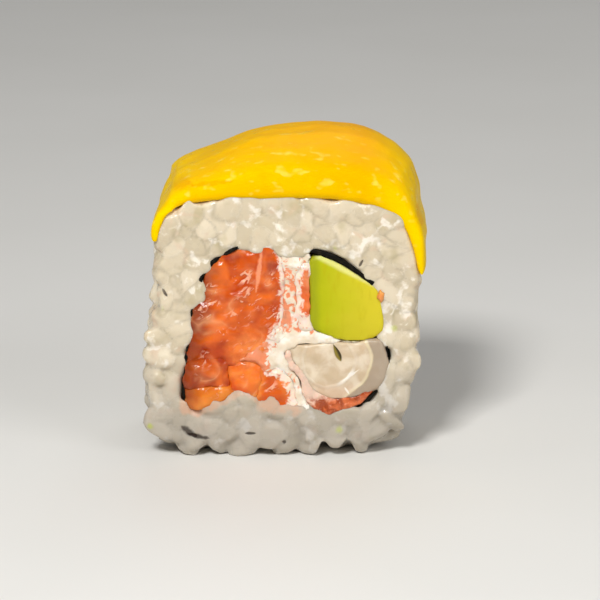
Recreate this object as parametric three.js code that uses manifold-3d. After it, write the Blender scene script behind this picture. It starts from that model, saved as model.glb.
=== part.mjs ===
// One piece of an uramaki roll, standing on the side of its rice. A ring of rice grains is wrapped
// round a sheet of nori, which holds chopped salmon, avocado, a surimi stick and cream cheese, and two
// slices of mango are draped over the top.
// Millimetres. X runs across the roll, +Y along its axis away from the cut face that shows the filling,
// and +Z up. The origin is under the middle of the piece, on the surface that it rests on.
import * as THREE from "three";
import { ImprovedNoise } from "three/addons/math/ImprovedNoise.js";
import { mergeVertices } from "three/addons/utils/BufferGeometryUtils.js";
import Module from "manifold-3d";

const wasm = await Module();
wasm.setup();

// The slice of roll.
const rollLength = 27; // along Y, from cut face to cut face
const faceRecess = 0.95; // how far the rice core's cut faces lie behind the grains on them
const fitGap = 0.2; // clear space between neighbouring pieces
const overrun = 6; // how far a cutting shape runs past the faces that it cuts

// Rice.
const grain = { length: 5.8, width: 2.9, thickness: 2.7 };
const coreDepth = 1.1; // how far the core lies inside the roll's outline
const coreDepthUnderMango = 0.25;
const mangoStartsAt = { left: [35, 39], right: [29, 33] }; // heights where the core's depth changes
const sideGrainSpacing = { along: 4.6, across: 4.6 };
const faceGrainSpacing = 3.8;
const faceGrainTries = 5200;
const restPatch = { width: 16, length: 13, thickness: 2 }; // pressed flat on the table

// Nori. Its thickness at even steps, from the inner end: it is creased or doubled in three places.
const noriThickness = [
  0.4, 0.4, 0.6, 0.9, 0.45, 0.35, 0.35, 0.6, 1.1, 0.7, 0.35, 0.4, 0.8, 0.7, 0.4, 0.35, 0.4, 0.4,
  0.4, 0.4, 0.4,
];
const noriSteps = 54;
const openingSides = 48;

// The cross-section, as points [x, z] for smooth curves.
const riceOutline = [
  [-2.7, 0], [11, 0.1], [18.5, 1.7], [21.2, 6.4], [23, 12.5], [24.1, 20.6], [24, 29.3],
  [23, 36.6], [20.8, 42.3], [17, 45.4], [9.6, 46.7], [0, 47], [-9.7, 46.8], [-17.6, 45.8],
  [-21.5, 43], [-23, 36.5], [-23.6, 27.5], [-24.7, 19.3], [-25.3, 12.6], [-24.5, 6.4],
  [-21.3, 1.6], [-14, 0.1],
];
// Where the nori lies against the filling, from its inner end at the bottom right round to the left.
const noriRound = [
  [-4, 8.8], [1.7, 8.4], [7.4, 7.7], [11.9, 8.4], [15.6, 11.6], [18.3, 16.1], [17.7, 21.6],
  [17.5, 27.4], [16.8, 30.7], [13.6, 33.3], [10.2, 35.7], [6.1, 37.6], [2.4, 38.2], [-2, 38.8],
  [-6.3, 39.1], [-9.7, 37.9], [-12.8, 35.9], [-15.2, 32.4], [-16.3, 27.2], [-17.2, 21.4],
  [-17.9, 15.7], [-18, 11],
];
// Where its outer end runs on under the rice that the roll overlaps.
const noriTail = [
  [-17.9, 7.6], [-17, 5.3], [-15, 4.4], [-10.6, 4.5], [-6.2, 4.9], [-0.6, 3.9],
];
// The top of that inner rice, from the left back to the nori's inner end.
const innerRiceTop = [
  [-17.3, 8], [-15, 9.1], [-12.4, 10.1], [-10, 11.3], [-7.5, 12.5], [-5.4, 11.7],
];
const fillingOutline = [...noriRound, ...innerRiceTop];

// The filling, each piece running through the roll.
const avocadoOutline = [
  [4.5, 36.6], [5.8, 37], [9.8, 35.1], [13.3, 33], [16.4, 30.6], [17.3, 28.8], [17.3, 26.4],
  [16.9, 23.2], [15.2, 21.9], [12.2, 21.4], [9.6, 21.8], [6.9, 22.8], [4.8, 24.1], [4.5, 30],
];
const surimiOutline = [
  [0.8, 20.6], [4, 20.5], [8.7, 21.1], [12.2, 20.9], [16.3, 21.6], [17.4, 18.9], [17.9, 16.2],
  [16.7, 13.7], [13.8, 11.7], [10.6, 10.9], [7.6, 11.2], [5.2, 12.3], [4, 14.3], [2.7, 16],
  [1.1, 17.8],
];
const surimiHeartOutline = [
  [3.2, 20.2], [6, 21.8], [10, 22], [14.1, 21.6], [15.1, 18.8], [15.4, 16.6], [14.8, 14.7],
  [13.4, 13.5], [11.2, 12.8], [7.9, 13.3], [5, 15.3], [3.4, 17.6],
];
const surimiSkinPath = [
  [0.6, 20], [0.9, 17.4], [2.9, 15.1], [4.4, 12.3], [7.2, 10.3], [10.6, 10.2], [14, 11],
  [17, 13.2],
];
const surimiSlit = { x: 9, z: 19.2, width: 0.6, height: 2.8, depth: 4, leanDeg: 28 };
const salmonOutlines = {
  salmon_upper: [
    [-16.6, 32], [-13.2, 36.8], [-8, 39.4], [-2.4, 39.2], [-0.1, 37.3], [0.5, 34.7], [0.9, 31.5],
    [1, 28.9], [0.5, 26.4], [0.2, 23.4], [-1.4, 21], [-3.8, 19.4], [-5, 17.6], [-9, 16.9],
    [-11.2, 17.3], [-14, 17.7], [-18.8, 16.8], [-18.4, 23.9],
  ],
  salmon_lower_right: [
    [-4.9, 15.6], [-3.1, 16.6], [-1, 16.3], [0.8, 14.8], [2.2, 12.9], [2.9, 10.8], [2, 8.6],
    [-1, 8], [-4.2, 8.2], [-5.1, 11],
  ],
  salmon_middle: [
    [-10, 17.8], [-5, 18], [-3.4, 16.4], [-4, 12.8], [-6, 11.2], [-8.8, 11.6], [-10, 14.6],
  ],
  salmon_middle_left: [
    [-19, 17.8], [-14, 18.4], [-9.8, 18.2], [-9.2, 15], [-9.4, 12.4], [-13.4, 12.9],
    [-19, 12.4],
  ],
  salmon_lower_left: [
    [-19, 13.6], [-14, 14], [-9.4, 13.4], [-7.4, 11.8], [-10.4, 8.4], [-15, 6.8], [-18.8, 6.2],
  ],
  salmon_sliver: [
    [2.2, 36.3], [4.4, 36.8], [5.2, 30], [5.2, 24], [3.1, 23.2], [1.7, 25.3], [1.4, 28.4],
    [1.8, 32.4],
  ],
};
const creamOutline = [
  [-0.9, 39], [3.1, 38.6], [4.6, 36.4], [4.8, 24], [8.4, 22.6], [15, 22.8], [16.8, 21.4],
  [8.6, 20.4], [1.4, 20.6], [1.4, 16.8], [4.4, 13], [4.8, 9.4], [2.2, 8.2], [0.4, 11.4],
  [-1.6, 15.4], [-5.4, 15.6], [-9, 16.6], [-5.2, 20], [-1.4, 23], [-0.6, 27], [0, 33],
];
const fillingRecess = {
  avocado: 0.25,
  surimi: 0.35,
  surimi_skin: 0.5,
  salmon: 0.45,
  cream_cheese: 0.7,
  nori: 0.3,
};
const salmonDome = 0.9; // how far the middle of a chunk of salmon bulges past its edge
const salmonRelief = 0.35;

// Mango: the inner face of the lower slice, from its left tip over the top to its right tip.
const mangoPath = [
  [-22.4, 39.4], [-22, 42.2], [-20.5, 44.7], [-17, 46.2], [-9.7, 47], [0, 47.2], [9.6, 46.9],
  [15.2, 46], [18.5, 44.5], [20.7, 42], [22.5, 38.2], [23.6, 32.3],
];
// Thickness is listed at even steps from the left end of each slice to the right.
const mangoLower = {
  thickness: [1.1, 1.6, 2.2, 2.7, 3, 3.1, 3.1, 3, 2.6, 1.9, 1.6, 0.9],
  leftEnd: 0.16, // share of the path over which it thins towards its left end, behind the front
  leftThinning: 0.7,
  steps: 22,
  rows: 4,
  front: 0.15,
  back: 0.3,
  frontEdge: 1, // shares of the thickness that are left at the front and at the back
  backEdge: 0.8,
  sway: 0.006, // how far its ends wander along the path
};
const mangoUpper = {
  from: 0.11, // shares of the path where the slice starts and ends
  to: 0.915,
  thickness: [1.6, 2, 3.7, 5, 5.8, 6.1, 6.5, 6.5, 5, 1.4, 0.6],
  steps: 22,
  rows: 5,
  front: 0.5,
  back: 0.4,
  frontEdge: 0.3,
  backEdge: 0.72,
  sway: 0.012,
};

// A random draw that is the same on every run.
function seededRandom(seed) {
  let state = seed;
  return () => {
    state = (state + 0x6d2b79f5) | 0;
    let t = Math.imul(state ^ (state >>> 15), 1 | state);
    t = (t + Math.imul(t ^ (t >>> 7), 61 | t)) ^ t;
    return ((t ^ (t >>> 14)) >>> 0) / 4294967296;
  };
}

// Solids and geometry.
function solidOf(geometry) {
  const bare = geometry.clone();
  bare.deleteAttribute("normal");
  bare.deleteAttribute("uv");
  const merged = mergeVertices(bare, 1e-4);
  const triVerts = new Uint32Array(merged.index.array);
  const vertProperties = merged.attributes.position.array;
  return new wasm.Manifold(new wasm.Mesh({ numProp: 3, vertProperties, triVerts }));
}

function geometryOf(solid) {
  const mesh = solid.getMesh();
  const geometry = new THREE.BufferGeometry();
  geometry.setAttribute("position", new THREE.BufferAttribute(mesh.vertProperties, 3));
  geometry.setIndex(new THREE.BufferAttribute(mesh.triVerts, 1));
  geometry.computeVertexNormals();
  return geometry;
}

function largestBody(solid) {
  return solid.decompose().sort((a, b) => b.volume() - a.volume())[0];
}

// Curves of the cross-section, in the plane y = 0.
function curveThrough(points, closed) {
  const places = points.map(([x, z]) => new THREE.Vector3(x, 0, z));
  return new THREE.CatmullRomCurve3(places, closed, "centripetal");
}

// The direction to the right of travel: outwards, on an anticlockwise outline.
function outwardAt(curve, share) {
  const along = curve.getTangentAt(share);
  return new THREE.Vector3(along.z, 0, -along.x);
}

// Evenly spaced points round a closed outline, anticlockwise as seen from the front and moved
// outwards by grow, a number or a rule.
function outlineRing(points, count, grow = 0) {
  const flat = points.map(([x, z]) => new THREE.Vector2(x, z));
  const ordered = THREE.ShapeUtils.isClockWise(flat) ? [...points].reverse() : points;
  const curve = curveThrough(ordered, true);
  return Array.from({ length: count }, (_, i) => {
    const place = curve.getPointAt(i / count);
    const move = typeof grow === "function" ? grow(place) : grow;
    return place.addScaledVector(outwardAt(curve, i / count), move);
  });
}

// A flat-ended prism of an outline, running along Y between two depths.
function prism(ring, from, to, bevel = 0) {
  const shape = new THREE.Shape(ring.map((place) => new THREE.Vector2(place.x, place.z)));
  const geometry = new THREE.ExtrudeGeometry(shape, {
    depth: to - from - 2 * bevel,
    bevelEnabled: bevel > 0,
    bevelThickness: bevel,
    bevelSize: bevel,
    bevelOffset: -bevel,
    bevelSegments: 1,
  });
  geometry.rotateX(Math.PI / 2);
  geometry.translate(0, to - bevel, 0);
  return geometry;
}

// A piece of filling: its outline runs through the roll, with both cut faces domed and uneven.
function fillingPiece(points, { recess, dome = 0, relief = 0, sides = 18, grow = 0, seed = 0 }) {
  const ring = outlineRing(points, sides, grow);
  const centre = new THREE.Vector3();
  ring.forEach((place) => centre.addScaledVector(place, 1 / sides));
  const half = rollLength / 2 - recess + grow;
  const edge = half - dome;
  const profile = [
    [0, -half], [0.62, -half + dome * 0.35], [1, -edge], [1, edge], [0.62, half - dome * 0.35],
    [0, half],
  ].map(([x, y]) => new THREE.Vector2(x, y));
  const geometry = new THREE.LatheGeometry(profile, sides);
  const noise = new ImprovedNoise();
  const position = geometry.attributes.position;
  for (let i = 0; i < position.count; i++) {
    const x = position.getX(i);
    const z = position.getZ(i);
    const reach = Math.hypot(x, z);
    const turn = (Math.atan2(-x, z) / (2 * Math.PI)) * sides;
    const rim = ring[(Math.round(turn) + sides) % sides];
    const place = centre.clone().lerp(rim, reach);
    const bump = relief * noise.noise(place.x / 3.1, place.z / 3.1 + seed, seed);
    position.setXYZ(i, place.x, position.getY(i) + bump * Math.sign(position.getY(i)), place.z);
  }
  return geometry;
}

// A slab bent along an open curve: x of the box runs along it, y out of it and z along the roll.
// The rules give the shares of the curve where it starts and ends, and how far its inner and outer
// faces lie out from the curve.
function bentSlab(curve, { steps, rows, from, to, front, back, inner, outer }) {
  const geometry = new THREE.BoxGeometry(1, 1, 1, steps, 1, rows);
  const position = geometry.attributes.position;
  for (let i = 0; i < position.count; i++) {
    const along = position.getX(i) + 0.5;
    const depth = position.getZ(i) + 0.5;
    const share = THREE.MathUtils.lerp(from(depth), to(depth), along);
    const out = outwardAt(curve, share);
    const rise = position.getY(i) > 0 ? outer(along, depth, share) : inner(along, depth, share);
    const place = curve.getPointAt(share).addScaledVector(out, rise);
    position.setXYZ(i, place.x, THREE.MathUtils.lerp(front, back, depth), place.z);
  }
  return geometry;
}

// A value between the numbers of a list that stand at even steps from 0 to 1.
function alongList(list, share) {
  const at = THREE.MathUtils.clamp(share, 0, 1) * (list.length - 1);
  const low = Math.min(Math.floor(at), list.length - 2);
  return THREE.MathUtils.lerp(list[low], list[low + 1], at - low);
}

// Nori, from its inner end round the filling and out under the overlap.
function noriSolid(grow = 0) {
  const curve = curveThrough([...noriRound, ...noriTail], false);
  const halfAt = (along) => alongList(noriThickness, along) / 2 + grow;
  const depth = rollLength / 2 - fillingRecess.nori + (grow > 0 ? overrun : 0);
  return solidOf(
    bentSlab(curve, {
      steps: noriSteps,
      rows: 1,
      from: () => 0,
      to: () => 1,
      front: -depth,
      back: depth,
      inner: (along) => -halfAt(along),
      outer: halfAt,
    }),
  );
}

// Mango. The curve is turned round, so that its outward side lies away from the rice.
function mangoCurve() {
  return curveThrough([...mangoPath].reverse(), false);
}

// How much of a slice's thickness is left at a share of the roll's length.
function crossRise({ frontEdge, backEdge }, depth) {
  const frontRise = THREE.MathUtils.smoothstep(depth, -0.12, 0.42);
  const backFall = THREE.MathUtils.smoothstep(depth, 0.7, 1.05);
  return (frontEdge + (1 - frontEdge) * frontRise) * (1 - (1 - backEdge) * backFall);
}

function mangoLowerTop(share, depth) {
  const atLeft = THREE.MathUtils.smoothstep(share, 1 - mangoLower.leftEnd, 1);
  const behind = THREE.MathUtils.smoothstep(depth, 0.05, 0.45);
  const kept = 1 - mangoLower.leftThinning * atLeft * behind;
  return alongList(mangoLower.thickness, 1 - share) * crossRise(mangoLower, depth) * kept;
}

function mangoSlice(slice, { from, to, inner, outer }) {
  const wander = (depth, phase) => slice.sway * Math.sin(5.3 * depth + phase);
  return bentSlab(mangoCurve(), {
    steps: slice.steps,
    rows: slice.rows,
    from: (depth) => from + wander(depth, 0.6) + slice.sway,
    to: (depth) => to + wander(depth, 2.2) - slice.sway,
    front: -rollLength / 2 + slice.front,
    back: rollLength / 2 - slice.back,
    inner,
    outer,
  });
}

function mangoLowerSlab() {
  return mangoSlice(mangoLower, {
    from: 0,
    to: 1,
    inner: () => 0,
    outer: (along, depth, share) => mangoLowerTop(share, depth),
  });
}

function mangoUpperSlab() {
  const base = (depth, share) => mangoLowerTop(share, depth) + fitGap;
  return mangoSlice(mangoUpper, {
    from: 1 - mangoUpper.to,
    to: 1 - mangoUpper.from,
    inner: (along, depth, share) => base(depth, share),
    outer: (along, depth, share) =>
      base(depth, share) + alongList(mangoUpper.thickness, 1 - along) * crossRise(mangoUpper, depth),
  });
}

// The space over the rice that the mango fills.
function mangoRoom() {
  return bentSlab(mangoCurve(), {
    steps: mangoLower.steps,
    rows: 1,
    from: () => 0,
    to: () => 1,
    front: -rollLength,
    back: rollLength,
    inner: () => -fitGap,
    outer: () => 8,
  });
}

// Rice.
function underMango(place) {
  return THREE.MathUtils.smoothstep(place.z, ...mangoStartsAt[place.x < 0 ? "left" : "right"]);
}

function coreInset(place) {
  return -THREE.MathUtils.lerp(coreDepth, coreDepthUnderMango, underMango(place));
}

// A grain lying in the plane of two directions: along its length and out of the surface.
function grainSolid(centre, along, out, size) {
  const geometry = new THREE.SphereGeometry(1, 6, 3);
  geometry.scale(grain.width / 2, grain.length / 2, grain.thickness / 2);
  geometry.scale(size, size, size);
  const side = new THREE.Vector3().crossVectors(along, out).normalize();
  const turn = new THREE.Matrix4().makeBasis(side, along, out);
  geometry.applyMatrix4(turn.setPosition(centre));
  return solidOf(geometry);
}

// Grains round the roll, in uneven rows, except where mango covers the rice.
function sideGrains(random) {
  const curve = curveThrough(riceOutline, true);
  const rows = Math.round(curve.getLength() / sideGrainSpacing.along);
  const columns = Math.round(rollLength / sideGrainSpacing.across);
  const grains = [];
  for (let row = 0; row < rows; row++) {
    for (let column = 0; column < columns; column++) {
      const shift = row % 2 ? 0.25 : -0.25;
      const share = (row + 0.5 + (random() - 0.5) * 0.5) / rows;
      const depth = ((column + 0.5 + shift + (random() - 0.5) * 0.5) / columns - 0.5) * rollLength;
      const turn = random() * Math.PI;
      const size = 0.9 + 0.2 * random();
      const sink = (0.75 + 0.5 * random()) * grain.thickness * 0.42;
      const place = curve.getPointAt(share);
      if (underMango(place) > 0.9) continue;
      const out = outwardAt(curve, share);
      const along = curve.getTangentAt(share).multiplyScalar(Math.cos(turn));
      along.y = Math.sin(turn);
      const reach = (grain.width + (grain.length - grain.width) * Math.abs(along.y)) / 2;
      const limit = rollLength / 2 - reach;
      place.addScaledVector(out, -sink);
      place.y = THREE.MathUtils.clamp(depth, -limit, limit);
      grains.push(grainSolid(place, along.normalize(), out, size));
    }
  }
  return grains;
}

function insideRing(ring, x, z) {
  let inside = false;
  ring.forEach((a, i) => {
    const b = ring[(i + 1) % ring.length];
    if (a.z > z !== b.z > z && x < ((b.x - a.x) * (z - a.z)) / (b.z - a.z) + a.x) inside = !inside;
  });
  return inside;
}

// Grains on a cut face, kept between the filling and the roll's outline and clear of each other.
function faceGrains(random, side) {
  const outer = outlineRing(riceOutline, 60, -0.9);
  const inner = outlineRing(fillingOutline, 60, 1.1);
  const clear = (x, z) => insideRing(outer, x, z) && !insideRing(inner, x, z);
  const placed = [];
  const grains = [];
  for (let i = 0; i < faceGrainTries; i++) {
    const x = (random() - 0.5) * 50;
    const z = random() * 48;
    const turn = random() * Math.PI;
    const size = 0.88 + 0.2 * random();
    const reach = grain.length * 0.36;
    const dx = Math.cos(turn) * reach;
    const dz = Math.sin(turn) * reach;
    const spaced = placed.every((p) => Math.hypot(p.x - x, p.z - z) > faceGrainSpacing);
    if (!spaced || !clear(x, z) || !clear(x + dx, z + dz) || !clear(x - dx, z - dz)) continue;
    placed.push({ x, z });
    const depth = side * (rollLength / 2 - grain.thickness * size * 0.5);
    const along = new THREE.Vector3(Math.cos(turn), 0, Math.sin(turn));
    const out = new THREE.Vector3(0, side, 0);
    grains.push(grainSolid(new THREE.Vector3(x, depth, z), along, out, size));
  }
  return grains;
}

function riceSolid(keepClear) {
  const half = rollLength / 2;
  const outer = outlineRing(riceOutline, 44, coreInset);
  const opening = outlineRing(fillingOutline, openingSides);
  const core = solidOf(prism(outer, -half + faceRecess, half - faceRecess, 0.5));
  const filling = solidOf(prism(opening, -half - overrun, half + overrun));
  const patch = new THREE.CylinderGeometry(0.5, 0.5, restPatch.thickness, 14);
  patch.rotateX(Math.PI / 2);
  patch.scale(restPatch.width, restPatch.length, 1);
  patch.translate(0, 0, restPatch.thickness / 2);
  const random = seededRandom(20);
  const grains = [...sideGrains(random), ...faceGrains(random, -1), ...faceGrains(random, 1)];
  const table = new THREE.BoxGeometry(80, 80, 10);
  table.translate(0, 0, -5);
  let rice = wasm.Manifold.union([core, solidOf(patch), ...grains]);
  rice = rice.subtract(wasm.Manifold.union([filling, solidOf(table), ...keepClear]));
  return largestBody(rice.simplify(0.1));
}

// The filling, each piece cut round the ones before it and kept inside the nori.
function fillingSolids() {
  const half = rollLength / 2;
  const room = solidOf(
    prism(outlineRing(fillingOutline, openingSides, -fitGap), -half - overrun, half + overrun),
  ).subtract(noriSolid(fitGap));
  const solids = {};
  const taken = [];
  const add = (name, makePiece) => {
    const piece = makePiece(0).intersect(room);
    solids[name] = largestBody(taken.length ? piece.subtract(wasm.Manifold.union(taken)) : piece);
    taken.push(makePiece(fitGap));
  };
  const piece = (points, options) => (grow) => solidOf(fillingPiece(points, { ...options, grow }));

  add("avocado", piece(avocadoOutline, { recess: fillingRecess.avocado, dome: 0.3, sides: 22 }));
  const heart = piece(surimiHeartOutline, { recess: fillingRecess.surimi, dome: 0.3 });
  const surimi = piece(surimiOutline, { recess: fillingRecess.surimi, dome: 0.4, sides: 22 });
  add("surimi_heart", (grow) => heart(grow).intersect(surimi(grow)));
  add("surimi_wrap", surimi);
  add("surimi_skin", surimiSkinSolid);
  Object.entries(salmonOutlines).forEach(([name, points], seed) => {
    const options = {
      recess: fillingRecess.salmon,
      dome: salmonDome,
      relief: salmonRelief,
      sides: points.length > 12 ? 24 : 14,
      seed,
    };
    add(name, piece(points, options));
  });
  const creamEnd = half - fillingRecess.cream_cheese;
  add("cream_cheese", () => solidOf(prism(outlineRing(creamOutline, 40), -creamEnd, creamEnd)));
  solids.surimi_heart = solids.surimi_heart.subtract(slitSolid());
  return solids;
}

// The red outer skin of the surimi stick: thin at the left and crumpled underneath.
function surimiSkinSolid(grow) {
  const curve = curveThrough(surimiSkinPath, false);
  const depth = rollLength / 2 - fillingRecess.surimi_skin + grow;
  const thickness = [0.7, 0.6, 0.5, 0.9, 2, 2.6, 1.9, 1, 0.7, 0.5];
  return solidOf(
    bentSlab(curve, {
      steps: 14,
      rows: 1,
      from: () => 0,
      to: () => 1,
      front: -depth,
      back: depth,
      inner: () => -0.8 - grow,
      outer: (along) => alongList(thickness, along) + grow,
    }),
  );
}

function slitSolid() {
  const { x, z, width, height, depth, leanDeg } = surimiSlit;
  const wedge = new THREE.CylinderGeometry(0.5, 0.5, depth, 8);
  wedge.scale(width, 1, height);
  wedge.rotateY(THREE.MathUtils.degToRad(-leanDeg));
  wedge.translate(x, -rollLength / 2 + depth / 4, z);
  return solidOf(wedge);
}

// Materials.
const colours = {
  rice: { color: 0xe9e5d6, roughness: 0.45 },
  nori: { color: 0x14170f, roughness: 0.5 },
  salmon: { color: 0xe5672b, roughness: 0.3 },
  avocado: { color: 0xc2c92a, roughness: 0.5 },
  surimi: { color: 0xe4dac8, roughness: 0.45 },
  surimi_skin: { color: 0xd4481f, roughness: 0.4 },
  cream_cheese: { color: 0xf3eee4, roughness: 0.4 },
  mango: { color: 0xfdc206, roughness: 0.35 },
};

function finishOf(name) {
  const kind = Object.keys(colours)
    .sort((a, b) => b.length - a.length)
    .find((key) => name.startsWith(key));
  return new THREE.MeshStandardMaterial({ ...colours[kind], metalness: 0 });
}

function meshOf(name, geometry) {
  const mesh = new THREE.Mesh(geometry, finishOf(name));
  mesh.name = name;
  return mesh;
}

const roll = new THREE.Group();
roll.name = "uramaki_roll";

const clearOfRice = [noriSolid(fitGap), solidOf(mangoRoom())];
roll.add(meshOf("rice", geometryOf(riceSolid(clearOfRice))));
roll.add(meshOf("nori", geometryOf(noriSolid())));
Object.entries(fillingSolids()).forEach(([name, solid]) => {
  roll.add(meshOf(name, geometryOf(solid.simplify(0.03))));
});
roll.add(meshOf("mango_lower", geometryOf(solidOf(mangoLowerSlab()))));
roll.add(meshOf("mango_upper", geometryOf(solidOf(mangoUpperSlab()))));

export default roll;
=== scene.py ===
import math
import random
import bmesh
import bpy
from mathutils import Matrix, Vector, noise
from mathutils.bvhtree import BVHTree
from mathutils.kdtree import KDTree


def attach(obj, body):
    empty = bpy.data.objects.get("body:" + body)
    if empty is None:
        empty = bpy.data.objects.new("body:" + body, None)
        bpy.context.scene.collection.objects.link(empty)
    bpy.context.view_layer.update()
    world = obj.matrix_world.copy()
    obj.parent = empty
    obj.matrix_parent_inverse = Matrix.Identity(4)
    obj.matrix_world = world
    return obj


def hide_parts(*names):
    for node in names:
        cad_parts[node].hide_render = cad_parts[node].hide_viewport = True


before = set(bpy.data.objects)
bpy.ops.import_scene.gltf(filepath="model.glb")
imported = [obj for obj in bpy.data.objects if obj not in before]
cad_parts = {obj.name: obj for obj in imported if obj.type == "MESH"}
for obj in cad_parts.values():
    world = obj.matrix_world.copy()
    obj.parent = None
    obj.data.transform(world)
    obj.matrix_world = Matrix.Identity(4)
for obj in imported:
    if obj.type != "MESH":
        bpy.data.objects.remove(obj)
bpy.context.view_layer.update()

mm = 0.001
scene = bpy.context.scene


# helpers for shapes

def clamp(value, low=0.0, high=1.0):
    return max(low, min(high, value))


def newPiece(name, form):
    mesh = bpy.data.meshes.new(name)
    form.to_mesh(mesh)
    form.free()
    piece = bpy.data.objects.new(name, mesh)
    scene.collection.objects.link(piece)
    return piece


def nodeForm(names):
    # one bmesh holding copies of these CAD nodes, with their loose triangles merged
    form = bmesh.new()
    for name in names:
        form.from_mesh(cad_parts[name].data)
    bmesh.ops.remove_doubles(form, verts=form.verts, dist=0.002 * mm)
    return form


def settle(piece):
    # makes what the modifiers do the piece's own mesh
    graph = bpy.context.evaluated_depsgraph_get()
    shaped = bpy.data.meshes.new_from_object(piece.evaluated_get(graph))
    old = piece.data
    piece.modifiers.clear()
    piece.data = shaped
    bpy.data.meshes.remove(old)


def soften(piece, voxel, rounds, swell=0.0):
    # an even, rounded skin over a CAD copy; swell moves it outwards first, in millimetres
    if swell:
        push = piece.modifiers.new("swell", "DISPLACE")
        push.mid_level = 0
        push.strength = swell * mm
    remesh = piece.modifiers.new("remesh", "REMESH")
    remesh.mode = "VOXEL"
    remesh.voxel_size = voxel * mm
    smooth = piece.modifiers.new("smooth", "SMOOTH")
    smooth.factor = 0.5
    smooth.iterations = rounds
    settle(piece)
    piece.data.shade_smooth()


def softPiece(name, nodes, settings):
    piece = newPiece(name, nodeForm(nodes))
    soften(piece, settings["voxel"], settings["rounds"], settings["swell"])
    return piece


def reshape(piece, change):
    # opens the piece's mesh, lets change work on it and closes it again
    form = bmesh.new()
    form.from_mesh(piece.data)
    change(form)
    form.to_mesh(piece.data)
    form.free()


def pushSkin(piece, rise):
    # moves every point along its normal by what rise gives for its place, in millimetres
    def push(form):
        form.normal_update()
        for vert in form.verts:
            vert.co += vert.normal * rise(vert.co) * mm

    reshape(piece, push)
    piece.data.shade_smooth()


def ruffle(piece, layers, seed=0.0):
    # layers of relief: size of the lumps, height and how they stretch, in millimetres
    shift = Vector((seed * 3.7, seed * 1.3, seed * 2.1))

    def rise(at):
        return sum(
            height * noise.noise(Vector(c / (size * s * mm) for c, s in zip(at, stretch)) + shift)
            for size, height, stretch in layers
        )

    pushSkin(piece, rise)


def smoothPoints(form, points, rounds):
    for _ in range(rounds):
        bmesh.ops.smooth_vert(
            form, verts=points, factor=0.5, use_axis_x=True, use_axis_y=True, use_axis_z=True,
        )


def treeOf(names):
    form = nodeForm(names)
    tree = BVHTree.FromBMesh(form)
    form.free()
    return tree


def markNear(piece, layer, names, reach):
    # keeps how close each point lies to these nodes: 1 where it touches, 0 past the reach
    tree = treeOf(names)
    near = piece.data.attributes.new(layer, "FLOAT", "POINT")
    for vert, mark in zip(piece.data.vertices, near.data):
        mark.value = max(0.0, 1 - tree.find_nearest(vert.co)[3] / (reach * mm))


def finishPiece(piece, nodes, material):
    piece.data.materials.clear()
    piece.data.materials.append(material)
    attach(piece, "root")
    if nodes:
        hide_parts(*nodes)


# helpers for finishes

def tint(code):
    # a colour as picked from a screen, such as "E5672B", made linear
    parts = [int(code[i:i + 2], 16) / 255 for i in (0, 2, 4)]
    return tuple(p / 12.92 if p <= 0.04045 else ((p + 0.055) / 1.055) ** 2.4 for p in parts) + (1.0,)


class Wire:
    # a socket that plain Python sums can be written with
    def __init__(self, finish, socket):
        self.finish = finish
        self.socket = socket

    def sum(self, operation, a, b):
        return self.finish.node("ShaderNodeMath", {"operation": operation}, {0: a, 1: b})

    def __add__(self, other):
        return self.sum("ADD", self, other)

    def __radd__(self, other):
        return self.sum("ADD", other, self)

    def __sub__(self, other):
        return self.sum("SUBTRACT", self, other)

    def __rsub__(self, other):
        return self.sum("SUBTRACT", other, self)

    def __mul__(self, other):
        return self.sum("MULTIPLY", self, other)

    def __rmul__(self, other):
        return self.sum("MULTIPLY", other, self)

    def __truediv__(self, other):
        return self.sum("DIVIDE", self, other)

    def __pow__(self, other):
        return self.sum("POWER", self, other)

    def __abs__(self):
        return self.finish.node("ShaderNodeMath", {"operation": "ABSOLUTE"}, {0: self})


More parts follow.
